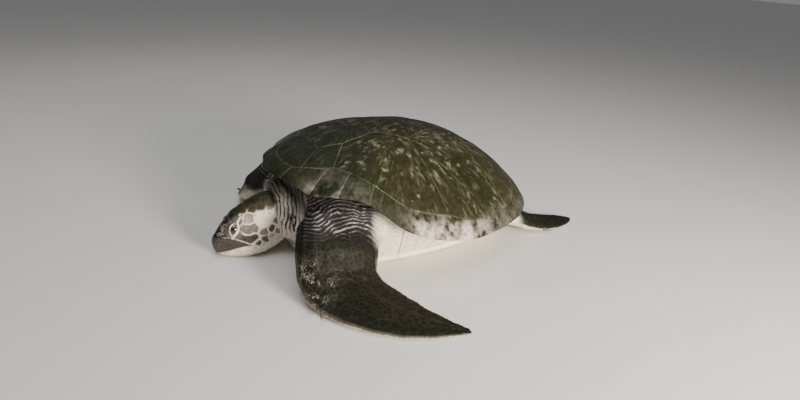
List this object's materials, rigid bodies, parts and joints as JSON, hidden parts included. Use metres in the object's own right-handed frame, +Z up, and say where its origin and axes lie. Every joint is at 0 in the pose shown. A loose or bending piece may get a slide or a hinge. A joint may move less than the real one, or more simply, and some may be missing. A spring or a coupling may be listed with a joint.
{
  "type": "sea turtle model",
  "caption": "Life-size still model of an adult green sea turtle resting on its plastron, neck drawn in, front flippers swept back along the floor and hind flippers trailing.",
  "frame": {"origin": "middle of the footprint's bounding box, on the floor under the plastron", "axes": "+X to the animal's left, across the spread front flippers; +Y from head to tail, so the head points to -Y; +Z up"},
  "size_m": [1.337, 1.3166, 0.3955],
  "materials": {
    "carapace": "satin horny plates, olive brown with pale rays, worn and dusted with sand at the rim",
    "plastron": "satin, cream with faint grey seams",
    "skin": "dull scaly skin, near black with pale creases, creamy cheeks and throat",
    "beak": "satin horn, olive tan with dark streaks",
    "eye": "wet gloss, near black",
    "claw": "dull dark horn"
  },
  "bodies": {
    "root": {"beak_lower": "beak", "beak_upper": "beak", "bridge_left": "plastron", "bridge_right": "plastron", "costal_plate_left_1": "carapace", "costal_plate_left_2": "carapace", "costal_plate_left_3": "carapace", "costal_plate_left_4": "carapace", "costal_plate_right_1": "carapace", "costal_plate_right_2": "carapace", "costal_plate_right_3": "carapace", "costal_plate_right_4": "carapace", "eye_left": "eye", "eye_right": "eye", "front_claw_left": "claw", "front_claw_right": "claw", "front_flipper_left": "skin", "front_flipper_right": "skin", "head": "skin", "hind_claw_left": "claw", "hind_claw_right": "claw", "hind_flipper_left": "skin", "hind_flipper_right": "skin", "lower_jaw": "skin", "marginal_plates_bridge_left": "carapace", "marginal_plates_bridge_right": "carapace", "marginal_plates_front_left": "carapace", "marginal_plates_front_right": "carapace", "marginal_plates_rear_left": "carapace", "marginal_plates_rear_right": "carapace", "neck": "skin", "nuchal_plate": "carapace", "plastron": "plastron", "tail": "skin", "thigh_left": "skin", "thigh_right": "skin", "trunk": "skin", "upper_arm_left": "skin", "upper_arm_right": "skin", "vertebral_plate_1": "carapace", "vertebral_plate_2": "carapace", "vertebral_plate_3": "carapace", "vertebral_plate_4": "carapace", "vertebral_plate_5": "carapace"}
  },
  "joints": []
}
